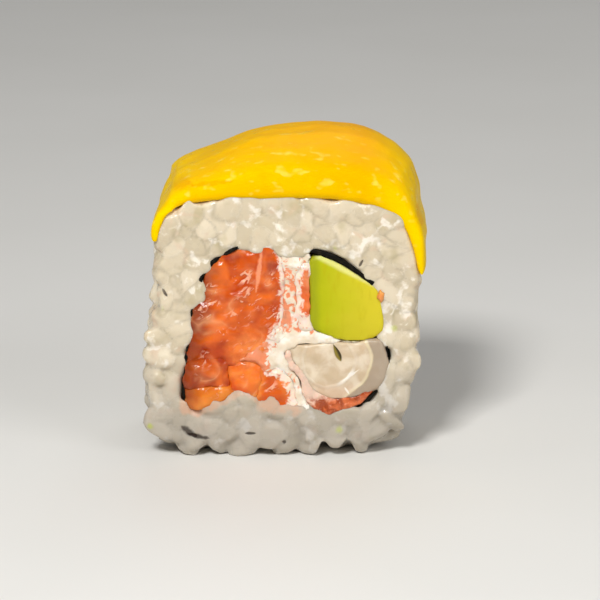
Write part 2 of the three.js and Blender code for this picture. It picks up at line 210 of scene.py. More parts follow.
class Finish:
    def __init__(self, name):
        self.material = bpy.data.materials.new(name)
        self.material.use_nodes = True
        self.tree = self.material.node_tree
        self.tree.nodes.clear()
        self.place = self.node("ShaderNodeTexCoord", output="Object")

    def node(self, kind, settings=None, inputs=None, output=0):
        made = self.tree.nodes.new(kind)
        for key, value in (settings or {}).items():
            setattr(made, key, value)
        for key, value in (inputs or {}).items():
            if isinstance(value, Wire):
                self.tree.links.new(value.socket, made.inputs[key])
            else:
                made.inputs[key].default_value = value
        return Wire(self, made.outputs[output]) if output is not None else made

    def axis(self, letter):
        # how far along an axis of the object, in millimetres
        return self.node("ShaderNodeSeparateXYZ", {}, {0: self.place}, letter) * 1000.0

    def stretched(self, scale):
        return self.node("ShaderNodeMapping", {}, {"Vector": self.place, "Scale": scale})

    def cloud(self, size, detail=3.0, twist=0.0, where=None):
        # soft noise with features of this size in millimetres
        return self.node("ShaderNodeTexNoise", {}, {
            "Vector": where or self.place, "Scale": 1000.0 / size, "Detail": detail, "Distortion": twist,
        })

    def spot(self, middle, reach):
        # 1 at a point given in millimetres, fading to 0 at its reach, with an uneven rim
        uneven = self.cloud(1.4, 3) * (reach * 0.9)
        at = tuple(c * mm for c in middle)
        far = self.node(
            "ShaderNodeVectorMath", {"operation": "DISTANCE"}, {0: self.place, 1: at}, "Value",
        ) * 1000.0
        return 1 - self.fade(far + uneven, reach * 0.6, reach * 1.3)

    def spots(self, places, deep=-13.0):
        # all spots of a list on the front, each given by its x, z and reach
        return sum((self.spot((x, deep, z), reach) for x, z, reach in places), 0.0)

    def stroke(self, start, end, width, wobble):
        # 1 on a line drawn on the cut faces, from one x and z to another in millimetres, 0 beside it
        x, z = self.axis("X") - start[0], self.axis("Z") - start[1]
        dx, dz = end[0] - start[0], end[1] - start[1]
        share = self.node(
            "ShaderNodeMapRange", {}, {"Value": x * dx + z * dz, "From Max": dx * dx + dz * dz},
        )
        far = ((x - share * dx) ** 2.0 + (z - share * dz) ** 2.0) ** 0.5
        uneven = (self.cloud(1.0, 2) - 0.5) * (width * wobble * 4)
        taper = abs(share * 2.0 - 1.0) ** 3.0 * width * 0.8
        return 1 - self.fade(far + uneven + taper, width * 0.3, width)

    def strokes(self, lines, wobble):
        return sum((self.stroke(*line, wobble) for line in lines), 0.0)

    def ridges(self, size, sharp, twist):
        # thin winding lines, 1 on the line
        return (1 - abs(self.cloud(size, 2.0, twist) * 2.0 - 1.0)) ** sharp

    def mark(self, layer):
        return self.node("ShaderNodeAttribute", {"attribute_name": layer}, output="Fac")

    def fade(self, value, start, end):
        inputs = {"Value": value, "From Min": start, "From Max": end}
        return self.node("ShaderNodeMapRange", {"interpolation_type": "SMOOTHSTEP"}, inputs)

    def blend(self, first, second, share):
        return self.node("ShaderNodeMix", {"data_type": "RGBA"}, {0: share, 6: first, 7: second}, 2)

    def relief(self, height, depth, strength):
        inputs = {"Height": height, "Distance": depth * mm, "Strength": strength}
        return self.node("ShaderNodeBump", {}, inputs)

    def done(self, colour, roughness, normal=None, coat=None, **fixed):
        # fixed holds what is the same all over: shine, tinted, ior, coatRoughness,
        # subsurface with its scatter and depth
        inputs = {"Base Color": colour, "Roughness": roughness, "IOR": fixed.get("ior", 1.4),
                  "Specular IOR Level": fixed.get("shine", 0.5)}
        if "tinted" in fixed:
            inputs["Specular Tint"] = fixed["tinted"]
        if normal:
            inputs["Normal"] = normal
        if coat is not None:
            inputs["Coat Weight"] = coat
            inputs["Coat Roughness"] = fixed.get("coatRoughness", 0.1)
        if "subsurface" in fixed:
            inputs["Subsurface Weight"] = fixed["subsurface"]
            inputs["Subsurface Radius"] = fixed["scatter"]
            inputs["Subsurface Scale"] = fixed["depth"] * mm
        shader = self.node("ShaderNodeBsdfPrincipled", {}, inputs)
        self.node("ShaderNodeOutputMaterial", {}, {"Surface": shader}, None)
        return self.material


# rice

rice = {
    "seed": 7,
    "coreVoxel": 0.7,
    "coreRounds": 4,
    "coreDepth": 0.45,       # how far the core is drawn in to make room for the grains
    "coreUnderMango": 0.4,   # how far it comes out under the mango instead
    "coreKept": (0.4, 2.4),  # how near the filling it keeps its place, and from where it doesn't
    "coreBare": (0.9, 1.2),  # how far from the mango it starts to be drawn in, and over how much
    "underMango": 3,         # what has the mango this near over it is under it
    "skinVoxel": 0.39,       # cooked grains stick to each other, in one skin of this fineness
    "skinRounds": 1,
    "faceSkin": 1.5,         # what counts as the cut faces when the skin is smoothed
    "faceRounds": (2, 11),   # smooths the cut faces further, their lower and their pressed upper part
    "sideRounds": 1,
    "pressedFrom": 19,       # above this z the knife smeared the rice, fully some way higher
    "pressedOver": 10,
    "levelled": 0.55,        # how far the smeared part is levelled to a plane, and how fast that starts
    "levelPlane": 13.0,
    "levelOver": 6,
    "levelDepth": (11.9, 0.6),
    # gaps along the foot of the front: x, half width and height, in millimetres
    "footGaps": [(6.8, 1.0, 3.4), (9.1, 1.3, 1.4), (11.2, 1.0, 3.8), (-4.2, 1.0, 1.8),
                 (-13.5, 1.2, 1.4), (19.0, 2.6, 2.4), (-20.5, 2.0, 1.6)],
    "gapsFrom": -8,          # they deepen from this y to the front, and lift the core up to a height
    "gapsDeepen": 3,
    "gapsLift": 9,
    "gapShare": 0.9,
    "gapSlack": 0.3,
    # grains end at this x, which closes in above one z and below another: x, z, share, z, share
    "leftLimit": (-25.4, 20, 0.12, 6, 0.45),
    "rightLimit": (24.0, 20, 0.12, 14, 0.28),
    "grainLength": (5.4, 7.6),
    "grainWidth": (3.2, 4.2),
    "grainThickness": (2.4, 3.1),
    "blunt": 0.6,            # how full a grain's ends are, and how bent and dented it is
    "bend": 0.3,
    "dent": 0.3,
    "dentSize": 1.1,
    "spacing": 2.75,         # least distance between the middles of two grains
    "sink": (0.2, 0.75),     # how deep a grain's middle lies under the core's skin
    "sinkPressed": 0.25,     # added where the knife smeared the rice, and where the mat pressed it
    "sinkLeft": 0.3,
    "sinkRight": 0.75,
    "sinkCorner": 0.25,
    "flatFrom": 0.8,         # a normal this much along the roll is a cut face's, not a corner's
    "alongFilling": 0.7,     # share of the grains near the filling that lie along its edge
    "nearFilling": 2.6,
    "endOn": 0.14,           # share of the other grains on the faces that stand end-on, and their tilt
    "endOnTilt": 0.4,
    "leanDeg": 20,
    "leanSideDeg": 8,
    "clearOfNori": 0.4,
    "clearWhereCovered": 0.1,
    "clearOfMango": {"face": 0.15, "frontCorner": 2.3, "backCorner": 3.4, "side": 0.9},
    "faceDepth": 2.2,        # grains this near the cut plane are face grains
    "cutAt": 13.35,          # the knife's plane on both sides, with its unevenness
    "cutRelief": 0.35,
    "cutSize": 4.5,
    # where rice covers the edge of the nori: x, z and reach, in millimetres
    "coveredEdges": [(-1.0, 39.5, 5.0), (17.8, 27.0, 5.4), (3.0, 7.8, 5.5), (-5.5, 4.6, 6.6),
                     (-15.8, 30.4, 1.6), (-17.6, 22.6, 1.3), (14.2, 8.6, 1.6), (18.2, 14.6, 1.8)],
    "coverRim": 1.5,
    "coverFrom": 13,         # edges of the nori past this y are its cut edges
    "coverDepth": 12.75,     # where the grains over them lie
    "neighbours": 6,         # grains looked at for a point's tone, and from where it's the core's
    "toneReach": 1.5,
    "coreTone": 0.4,
    "creaseWidth": 0.22,
    "smearReach": 2.4,
    "flecks": [(-22.0, 27.5, 1.1), (-24.1, 5.8, 1.0), (8.7, 38.3, 0.9), (14.0, 31.1, 0.7),
               (19.2, 23.9, 1.2), (9.6, 5.1, 1.3)],
    # dark cracks painted as shade in them, and where the nori's dark outer end shows: from, to and
    # width, in millimetres
    "cracks": [((-18.6, 5.8), (-15.8, 3.8), 0.9), ((-17.4, 4.4), (-13.4, 3.5), 0.6),
               ((-21.7, 31.0), (-20.7, 29.6), 0.35), ((-7.3, 4.5), (-5.2, 4.5), 0.35),
               ((-0.7, 3.0), (0.1, 2.7), 0.5), ((12.9, 35.0), (13.6, 36.4), 0.35)],
}


def coveredEdge(at):
    # how far rice is pushed over the nori here, 0 to 1
    share = 0.0
    for x, z, reach in rice["coveredEdges"]:
        far = math.hypot(at.x / mm - x, at.z / mm - z)
        share = max(share, clamp((reach - far) / rice["coverRim"]))
    return share


def footGap(at):
    # how far the rice stands off the table here, in metres
    if at.y > rice["gapsFrom"] * mm:
        return 0.0
    deep = min(1.0, (rice["gapsFrom"] - at.y / mm) / rice["gapsDeepen"])
    return sum(
        height * mm * deep * math.exp(-(((at.x / mm - x) / width) ** 4))
        for x, width, height in rice["footGaps"]
    )


def sideLimit(side, z):
    # the x where the grains of a side end at this height, in metres
    end, high, highShare, low, lowShare = rice[side]
    closer = highShare * max(0.0, z / mm - high) + lowShare * max(0.0, low - z / mm)
    return (end - math.copysign(closer, end)) * mm


def riceFinish():
    finish = Finish("boiledRice")
    shade = finish.mark("grainTone") * 0.75 + 0.12
    milky = finish.blend(tint("C8BA9F"), tint("E4D7BF"), shade)
    cloud = finish.fade(finish.cloud(3.4, 2), 0.52, 0.74)
    clouded = finish.blend(milky, tint("B8AA82"), cloud * 0.55)
    blush = finish.fade(finish.cloud(3.1, 1, 0.4), 0.56, 0.75)
    rosy = finish.blend(clouded, tint("DABFA4"), blush * 0.55)
    light = finish.fade(finish.cloud(2.4, 3, 0.3), 0.57, 0.69)
    bright = finish.blend(rosy, tint("FAF4EA"), light * 0.65)
    crease = finish.mark("crease")
    # painted shade: the creases between grains are darkened, more where they are shut
    shut = finish.fade(finish.cloud(4.0, 2), 0.42, 0.6)
    creaseShaded = finish.blend(bright, tint("9C9078"), crease * (0.1 + shut * 0.35))
    # painted highlight: pale lines along the grains' edges
    rim = finish.fade(crease, 0.25, 0.5) * (1 - finish.fade(crease, 0.55, 0.8)) * (1 - shut)
    rimmed = finish.blend(creaseShaded, tint("EFE6D6"), rim * 0.2)
    # painted shade: the rice is made greyer and darker towards the bottom
    foot = 1 - finish.fade(finish.axis("Z"), 3.0, 24.0)
    footShaded = finish.blend(rimmed, tint("9C9791"), foot * 0.65)
    oil = finish.mark("salmonNear") + finish.cloud(1.8, 3) * 0.8
    smear = finish.fade(oil, 0.75, 1.1) * foot
    smeared = finish.blend(footShaded, tint("E2A884"), smear * 0.55)
    stained = finish.blend(smeared, tint("B9C63A"), finish.spots(rice["flecks"], -13.4) * 0.6)
    # painted shade in the cracks, and the nori's dark end where it shows; they are also pressed in as
    # grooves
    crack = finish.strokes(rice["cracks"], 0.2)
    front = 1 - finish.fade(finish.axis("Y"), -13.0, -11.0)
    crackShaded = finish.blend(stained, tint("2E2018"), crack * front * 0.85)
    height = finish.cloud(1.1, 3) * 0.8 + finish.cloud(0.35, 2) * 0.4 - crack * 3.0
    wet = finish.fade(finish.cloud(1.4, 2), 0.5, 0.62)
    return finish.done(
        crackShaded, 0.5 - wet * 0.25, finish.relief(height, 0.1, 0.6), coat=wet * 0.5,
        coatRoughness=0.12, subsurface=0.7, scatter=(1.0, 0.9, 0.75), depth=1.8, ior=1.38, shine=0.4,
    )


def makeCore(fillings, mango):
    core = newPiece("riceCore", nodeForm(["rice"]))
    soften(core, rice["coreVoxel"], rice["coreRounds"])

    def drawnIn(at):  # makes room for the grains, but not under the mango
        toMango = mango.find_nearest(at)[3]
        start, over = rice["coreBare"]
        kept, free = rice["coreKept"]
        bare = clamp((toMango / mm - start) / over)
        bare *= clamp((fillings.find_nearest(at)[3] / mm - kept) / (free - kept))
        out = rice["coreUnderMango"] * (1 - bare) * (toMango < rice["underMango"] * mm)
        return out - rice["coreDepth"] * bare

    def liftGaps(form):
        for vert in form.verts:
            vert.co.z += footGap(vert.co) * max(0.0, 1 - vert.co.z / (rice["gapsLift"] * mm))

    pushSkin(core, drawnIn)
    reshape(core, liftGaps)
    return core


def grainSpots(draw, core):
    # grains that lie over the nori's cut edge come first, then the rest of the skin
    spots = []
    sheet = nodeForm(["nori"])
    for edge in sheet.edges:
        at = (edge.verts[0].co + edge.verts[1].co) / 2
        if abs(at.y) > rice["coverFrom"] * mm and coveredEdge(at) > 0.5:
            side = math.copysign(1.0, at.y)
            over = Vector((at.x, side * rice["coverDepth"] * mm, at.z))
            spots.append((over, Vector((0, side, 0)), True))
    sheet.free()
    draw.shuffle(spots)
    polygons = list(core.data.polygons)
    draw.shuffle(polygons)
    return spots + [(polygon.center.copy(), polygon.normal.copy(), False) for polygon in polygons]


def mangoRoom(at, up, onFace):
    # how far a grain here has to stay from the mango, in metres
    room = rice["clearOfMango"]
    if not onFace:
        return room["side"] * mm
    if abs(up.y) > rice["flatFrom"]:
        return room["face"] * mm
    return room["backCorner" if at.y > 0 else "frontCorner"] * mm


def grainPlaces(spots, fillings, mango):
    # keeps the spots that are clear of the filling, of the mango and of each other
    places = []
    grid = {}
    cell = rice["spacing"] * mm
    around = (-1, 0, 1)
    for at, up, covers in spots:
        key = tuple(int(math.floor(c / cell)) for c in at)
        near = [
            p for i in around for j in around for k in around
            for p in grid.get((key[0] + i, key[1] + j, key[2] + k), ())
        ]
        if any((p - at).length < cell for p in near):
            continue
        toFilling = fillings.find_nearest(at)[0] - at
        onFace = abs(at.y) > rice["cutAt"] * mm - rice["faceDepth"] * mm
        covered = coveredEdge(at)
        clear = rice["clearOfNori"] * (1 - covered) + rice["clearWhereCovered"] * covered
        if not covers and toFilling.length < (clear if onFace else rice["nearFilling"]) * mm:
            continue
        if mango.find_nearest(at)[3] < mangoRoom(at, up, onFace):
            continue
        if at.z < footGap(at) - rice["gapSlack"] * mm:
            continue
        if not onFace and mango.ray_cast(at + up * 0.05 * mm, up, rice["underMango"] * mm)[0]:
            continue
        grid.setdefault(key, []).append(at)
        places.append((at, up, toFilling, onFace))
    return places


def makeGrain(form, draw, middle, axes, size):
    # one cooked grain: blunt, a little bent and dented, cut flat by the knife and the board
    grain = bmesh.new()
    bmesh.ops.create_uvsphere(grain, u_segments=10, v_segments=7, radius=1.0)
    bend = draw.uniform(-rice["bend"], rice["bend"])
    shift = Vector((draw.uniform(-50, 50), 0, 0))
    across, out, along = axes
    for vert in grain.verts:
        x, y, z = vert.co
        fuller = 1.0 + rice["blunt"] * (1.0 - z * z) * z * z
        x = x * fuller + bend * (z * z - 0.4)
        y = y * fuller
        dent = 1.0 + rice["dent"] * noise.noise(vert.co * rice["dentSize"] + shift)
        place = middle + (across * x * size[0] + out * y * size[1] + along * z * size[2]) * dent
        relief = rice["cutRelief"] * noise.noise(place / (rice["cutSize"] * mm))
        cut = (rice["cutAt"] + relief) * mm
        place.y = clamp(place.y, -cut, cut)
        place.z = max(footGap(place) * rice["gapShare"], place.z)
        place.x = clamp(place.x, sideLimit("leftLimit", place.z), sideLimit("rightLimit", place.z))
        vert.co = place
    mesh = bpy.data.meshes.new("grain")
    grain.to_mesh(mesh)
    grain.free()
    form.from_mesh(mesh)
    bpy.data.meshes.remove(mesh)


def layGrain(form, draw, at, up, toFilling, onFace):
    # turns a grain at this spot, sinks it in and makes it
    side = up.orthogonal().normalized()
    side.rotate(Matrix.Rotation(draw.uniform(0, math.tau), 3, up))
    beside = 0.01 * mm < toFilling.length < rice["nearFilling"] * mm
    if beside and draw.random() < rice["alongFilling"]:
        side = up.cross(toFilling).normalized()
    elif onFace and draw.random() < rice["endOn"]:
        side = (up + side * rice["endOnTilt"]).normalized()
    else:
        most = rice["leanDeg"] if onFace else rice["leanSideDeg"]
        lean = math.radians(draw.uniform(-most, most))
        side = (side * math.cos(lean) + up * math.sin(lean)).normalized()
    across = up.cross(side).normalized()
    axes = (across, side.cross(across).normalized(), side)
    size = [draw.uniform(*rice[k]) * mm / 2 for k in ("grainWidth", "grainThickness", "grainLength")]
    pressed = onFace * clamp((at.z / mm - rice["pressedFrom"]) / rice["pressedOver"])
    sink = draw.uniform(*rice["sink"]) + rice["sinkPressed"] * pressed
    sink += max(rice["sinkRight"] * up.x, -rice["sinkLeft"] * up.x)
    if onFace and abs(up.y) < rice["flatFrom"]:
        sink += rice["sinkCorner"]
    middle = at - up * sink * mm
    makeGrain(form, draw, middle, axes, size)
    return middle, axes, size, draw.random()


def toneGrains(piece, grains):
    # gives each grain a tone of its own, and marks the creases between them
    middles = KDTree(len(grains))
    for count, grain in enumerate(grains):
        middles.insert(grain[0], count)
    middles.balance()
    tone = piece.data.attributes.new("grainTone", "FLOAT", "POINT")
    crease = piece.data.attributes.new("crease", "FLOAT", "POINT")
    for count, vert in enumerate(piece.data.vertices):
        near = []
        for _, index, _ in middles.find_n(vert.co, rice["neighbours"]):
            middle, axes, size, shade = grains[index]
            off = vert.co - middle
            far = sum((off.dot(axis) / half) ** 2 for axis, half in zip(axes, size)) ** 0.5
            near.append((far, shade))
        near.sort()
        (first, shade), (second, _) = near[:2]
        tone.data[count].value = shade if first < rice["toneReach"] else rice["coreTone"]
        crease.data[count].value = max(0.0, 1 - (second - first) / rice["creaseWidth"])


def pressFaces(form):
    # smooths the skin, and levels the smeared upper part of both cut faces
    faceFrom = rice["cutAt"] * mm - rice["faceSkin"] * mm
    face = [v for v in form.verts if abs(v.co.y) > faceFrom]
    lowRounds, highRounds = rice["faceRounds"]
    levelFrom, levelDepth = rice["levelDepth"]
    smoothPoints(form, face, lowRounds)
    smoothPoints(form, [v for v in form.verts if abs(v.co.y) <= faceFrom], rice["sideRounds"])
    pressed = [v for v in face if v.co.z > rice["pressedFrom"] * mm]
    smoothPoints(form, pressed, highRounds - lowRounds)
    for vert in face:
        share = clamp((vert.co.z / mm - rice["pressedFrom"]) / rice["levelOver"]) * rice["levelled"]
        share *= clamp((abs(vert.co.y) / mm - levelFrom) / levelDepth)
        vert.co.y += (math.copysign(rice["levelPlane"] * mm, vert.co.y) - vert.co.y) * share


def makeRice():
    draw = random.Random(rice["seed"])
    fillings = treeOf([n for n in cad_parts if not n.startswith(("rice", "mango"))])
    mango = treeOf([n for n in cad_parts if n.startswith("mango")])
    core = makeCore(fillings, mango)
    places = grainPlaces(grainSpots(draw, core), fillings, mango)
    form = bmesh.new()
    form.from_mesh(core.data)
    bpy.data.objects.remove(core)
    grains = [layGrain(form, draw, *place) for place in places]
    piece = newPiece("rice_grains", form)
    soften(piece, rice["skinVoxel"], rice["skinRounds"])
    toneGrains(piece, grains)
    markNear(piece, "salmonNear", list(salmon["tones"]), rice["smearReach"])
    reshape(piece, pressFaces)
    triangles = sum(len(p.vertices) - 2 for p in piece.data.polygons)
    print("rice:", len(places), "grains,", triangles, "triangles")
    finishPiece(piece, ["rice"], riceFinish())


# nori

nori = {
    "cuts": 2,
    "relief": [(2.4, 0.32, (1, 1, 1)), (1.2, 0.24, (1, 2, 1))],
    "edgeAt": 13.2,
    "depth": 0.45,          # how far its cut edge lies behind that, and how much further under rice
    "coveredDepth": 1.8,
    # where it looks thicker or thinner: x, z, reach and how much is added to each side
    "thicker": [(-12.4, 36.2, 4.0, 0.05), (10.5, 35.5, 6.0, -0.15), (15.0, 10.4, 5.0, -0.25),
                (18.4, 16.0, 7.0, -0.3)],
}


def noriFinish():
    finish = Finish("driedSeaweed")
    grain = finish.cloud(0.7, 4, 0.6)
    colour = finish.blend(tint("0A0906"), tint("241F14"), finish.fade(grain, 0.45, 0.75))
    return finish.done(colour, 0.4 + grain * 0.3, finish.relief(grain, 0.12, 0.8), shine=0.15)


def makeNori():
    form = nodeForm(["nori"])
    bmesh.ops.subdivide_edges(form, edges=form.edges, cuts=nori["cuts"], use_grid_fill=True)
    for vert in form.verts:
        back = nori["coveredDepth"] * coveredEdge(vert.co) + nori["depth"]
        edge = (nori["edgeAt"] - back) * mm
        vert.co.y = clamp(vert.co.y, -edge, edge)
    piece = newPiece("nori_sheet", form)

    def thicken(at):
        return sum(
            add * max(0.0, 1 - math.hypot(at.x / mm - x, at.z / mm - z) / reach)
            for x, z, reach, add in nori["thicker"]
        )

    pushSkin(piece, thicken)
    ruffle(piece, nori["relief"])
    finishPiece(piece, ["nori"], noriFinish())


# salmon

salmon = {
    "voxel": 0.36,
    "rounds": 3,
    "swell": 0.42,
    "relief": [(5.0, 0.7, (1, 1, 1)), (2.0, 0.42, (1, 1, 0.7)), (0.9, 0.12, (1, 1, 0.8))],
    "tones": {
        "salmon_upper": ("B83E06", "E66C1C"),
        "salmon_lower_right": ("CC5210", "F28C34"),
        "salmon_middle": ("D65008", "F58A34"),
        "salmon_middle_left": ("AC3A06", "E06A20"),
        "salmon_lower_left": ("CE6414", "EE9438"),
        "salmon_sliver": ("C8420C", "EC7E42"),
    },
    "creamReach": 2.4,
    "slant": 0.6,           # of its strands, in radians
    "tendon": ((-4.1, 38.6), (-5.2, 30.6), 0.55),
    # x, z and reach in millimetres, on the cut face
    "glints": [(-7.2, 33.3, 3.0), (-2.3, 32.6, 2.6), (-13.4, 30.6, 2.4), (-6.4, 29.4, 3.8),
               (-12.6, 27.4, 2.6), (-8.2, 25.8, 3.4), (-2.4, 26.6, 2.4), (-11.0, 22.6, 1.8),
               (-12.6, 12.6, 2.4), (-2.6, 12.6, 2.4)],
    # dark red painted shade where the flesh has cavities
    "hollows": [(-9.2, 36.6, 2.2), (-2.2, 35.0, 2.0), (-11.4, 18.0, 1.5), (-7.3, 17.6, 1.2)],
    "glow": [(-6.0, 20.0, 6.0)],
}


def salmonFinish(name, dark, light):
    finish = Finish(name + "Flesh")
    x = finish.axis("X")
    z = finish.axis("Z")
    patch = finish.fade(finish.cloud(4.6, 2, 0.6), 0.28, 0.72)
    flesh = finish.blend(tint(dark), tint(light), patch)
    edge = 1 - finish.fade(x + (z - 20) * -0.18, -17.5, -12.5)
    shaded = finish.blend(flesh, tint("6E230C"), edge * 0.8)
    # painted shade in the hollows
    hollowShaded = finish.blend(shaded, tint("8C1404"), finish.spots(salmon["hollows"]) * 0.7)
    band = finish.ridges(8.0, 9.0, 1.0) * finish.fade(finish.cloud(5.0, 1), 0.45, 0.65)
    marbled = finish.blend(hollowShaded, tint("FFB880"), band * 0.5)
    wet = finish.fade(finish.cloud(5.5, 2), 0.58, 0.7) + finish.spots(salmon["glints"])
    glowing = finish.blend(marbled, tint("FC9448"), finish.spots(salmon["glow"]) * 0.6)
    tendoned = finish.blend(glowing, tint("F6A67C"), finish.stroke(*salmon["tendon"], 0.3) * 0.7)
    slant = {"Vector": finish.place, "Rotation": (0, salmon["slant"], 0)}
    turned = finish.node("ShaderNodeMapping", {}, slant)
    slanted = finish.node("ShaderNodeMapping", {}, {"Vector": turned, "Scale": (0.5, 0.7, 1.0)})
    # pale slanted strands: partly fat strands, partly painted wet highlights; they are also raised
    strandAndGlint = finish.fade(finish.cloud(0.9, 2, 0.8, slanted), 0.54, 0.62) * wet
    strandsAndGlints = finish.blend(tendoned, tint("FFC4A4"), strandAndGlint * 0.7)
    creamy = finish.mark("creamNear") * finish.fade(x, -7.0, -1.6)
    curd = finish.fade(finish.cloud(1.5, 4, 1.4) + creamy * 0.7, 0.88, 1.1)
    smeared = finish.blend(strandsAndGlints, tint("F3E2D0"), curd * 0.9)
    height = finish.cloud(1.4, 3, 0.5) * 0.4 + finish.cloud(0.5, 3) * 0.12 + strandAndGlint * 0.5
    return finish.done(
        smeared, 0.12 + finish.cloud(0.8, 2) * 0.16, finish.relief(height, 0.35, 0.9), coat=0.1,
        coatRoughness=0.05, subsurface=0.35, scatter=(1.0, 0.3, 0.1), depth=1.3, ior=1.45, shine=0.35,
    )


def makeSalmon():
    for count, (name, (dark, light)) in enumerate(salmon["tones"].items()):
        piece = softPiece(name + "_chunk", [name], salmon)
        ruffle(piece, salmon["relief"], count)
        markNear(piece, "creamNear", ["cream_cheese"], salmon["creamReach"])
        finishPiece(piece, [name], salmonFinish(name, dark, light))


# an orange crumb that sticks to the avocado's corner

crumb = {
    "middle": (16.7, -13.1, 29.8),
    "half": (0.6, 0.5, 1.0),
    "dent": 0.5,
    "dentSize": 1.5,
    "seed": 4,
    "tones": ("D87418", "F0A048"),
    "creamReach": 1.6,
}


def makeCrumb():
    form = bmesh.new()
    bmesh.ops.create_icosphere(form, subdivisions=2, radius=1.0)
    shift = Vector((crumb["seed"], 0, 0))
    for vert in form.verts:
        dent = 1 + crumb["dent"] * noise.noise(vert.co * crumb["dentSize"] + shift)
        ends = zip(crumb["middle"], crumb["half"], vert.co)
        vert.co = Vector(middle + half * c * dent for middle, half, c in ends) * mm
    piece = newPiece("salmon_crumb", form)
    piece.data.shade_smooth()
    markNear(piece, "creamNear", ["cream_cheese"], crumb["creamReach"])
    finishPiece(piece, [], salmonFinish("salmon_crumb", *crumb["tones"]))


# avocado

avocado = {
    "voxel": 0.5,
    "rounds": 5,
    "swell": 0.28,
    "relief": [(5.0, 0.3, (1, 1, 1)), (1.5, 0.08, (1, 1, 1))],
    "seed": 3,
}


def avocadoFinish():
    finish = Finish("ripeAvocado")
    x = finish.axis("X")
    z = finish.axis("Z")
    drift = finish.cloud(5.0, 2, 0.4) - 0.5
    across = finish.fade(x + drift * 5.0, 4.0, 16.5)
    flesh = finish.blend(tint("AFB406"), tint("D2C22C"), across)
    upright = finish.stretched((1.0, 1.0, 0.3))
    streak = finish.fade(finish.cloud(1.3, 3, where=upright), 0.5, 0.72)
    streaked = finish.blend(flesh, tint("B8A80C"), streak * 0.4)
    bruise = 1 - finish.fade(x + drift * 1.2, 5.0, 6.6)
    sided = finish.blend(streaked, tint("9A9E18"), bruise * 0.8)
    rim = finish.fade(x * 0.52 + z + drift * 0.6, 39.1, 39.9)
    rimmed = finish.blend(sided, tint("E6E79A"), rim * 0.6)
    height = finish.cloud(1.4, 3) * 0.6 + finish.cloud(0.4, 2) * 0.4
    return finish.done(
        rimmed, 0.3 + finish.cloud(1.0, 2) * 0.2, finish.relief(height, 0.14, 0.5),
        subsurface=0.25, scatter=(0.8, 1.0, 0.2), depth=1.2, ior=1.3, shine=0.3,
    )


def makeAvocado():
    piece = softPiece("avocado_strip", ["avocado"], avocado)
    ruffle(piece, avocado["relief"], avocado["seed"])
    finishPiece(piece, ["avocado"], avocadoFinish())


# surimi

surimi = {
    "voxel": 0.3,
    "rounds": 4,
    "swell": 0.2,
    "relief": [(4.0, 0.3, (1, 1, 1)), (1.3, 0.08, (1, 1, 1))],
    "seed": 5,
    "heart": (7.6, 18.2, 7.4, 8.0),    # middle and reach of the rolled inside, x and z
    "slit": (9.1, 19.4, 0.6, 1.75),    # middle, half width and half height
    "slitLeanDeg": 24,
    "fuller": (13.0, 0.35, 3),         # it bulges past this x, by how much and over how far
    # white strokes on it: from, to and width, in millimetres
    "strokes": [((13.1, 16.5), (9.9, 14.1), 0.26), ((10.4, 13.1), (11.3, 11.6), 0.24)],
}


def surimiFinish():
    finish = Finish("surimiFlesh")
    x = finish.axis("X")
    z = finish.axis("Z")
    fine = finish.cloud(2.8, 3, 0.5)
    flesh = finish.blend(tint("CDB798"), tint("E2D2BA"), finish.fade(fine, 0.35, 0.7))
    low = 1 - finish.fade(z + (fine - 0.5) * 2, 11.0, 15.0)
    warm = finish.blend(flesh, tint("D9AE92"), low * 0.4)
    middleX, middleZ, reachX, reachZ = surimi["heart"]
    ovals = ((x - middleX) / reachX) ** 2.0 + ((z - middleZ) / reachZ) ** 2.0
    rings = ovals ** 0.5 + (finish.cloud(5.0, 2) - 0.5) * 0.24
    outer = finish.fade(rings, 0.98, 1.04)
    wrapped = finish.blend(warm, tint("A4927E"), outer * 0.85)
    seam = finish.fade(rings, 0.9, 0.96) * (1 - finish.fade(rings, 0.98, 1.02))
    seamed = finish.blend(wrapped, tint("E8DCB4"), seam * 0.45 * finish.fade(x, 6.0, 12.0))
    inner = finish.fade(rings, 0.58, 0.62) * (1 - finish.fade(rings, 0.64, 0.7))
    quarter = finish.fade(x, 8.6, 10.2) * (1 - finish.fade(z, 15.6, 17.0))
    swirled = finish.blend(seamed, tint("F6EEE2"), inner * (0.12 + quarter * 0.8))
    slitX, slitZ, halfWidth, halfHeight = surimi["slit"]
    lean = math.radians(surimi["slitLeanDeg"])
    dx = x - slitX
    dz = z - slitZ
    along = (dz * math.cos(lean) - dx * math.sin(lean)) / halfHeight
    across = (dx * math.cos(lean) + dz * math.sin(lean)) / halfWidth
    reach = abs(across) * (1.2 + along * 0.5) + along * along
    slit = 1 - finish.fade(reach, 0.75, 1.1)
    # painted shade in the slit, lighter on one side
    deep = finish.blend(tint("8C7A2C"), tint("3A300C"), finish.fade(across, -0.3, 0.4))
    slitShaded = finish.blend(swirled, deep, slit)
    stroked = finish.blend(slitShaded, tint("FAF2E6"), finish.strokes(surimi["strokes"], 0.3) * 0.8)
    grain = finish.cloud(1.2, 3) * 0.5 + finish.cloud(0.35, 2) * 0.3
    height = grain + (inner + seam - outer) * 0.8 - slit * 3.0
    return finish.done(
        stroked, 0.3 + fine * 0.2, finish.relief(height, 0.14, 0.7), coat=0.2, coatRoughness=0.15,
        subsurface=0.4, scatter=(1.0, 0.8, 0.6), depth=1.2, ior=1.4, shine=0.4,
    )


surimiSkin = {
    "voxel": 0.3,
    "rounds": 3,
    "swell": 0.22,
    "relief": [(2.2, 0.4, (1, 1, 1)), (0.9, 0.2, (1, 1, 1))],
    "seed": 6,
}


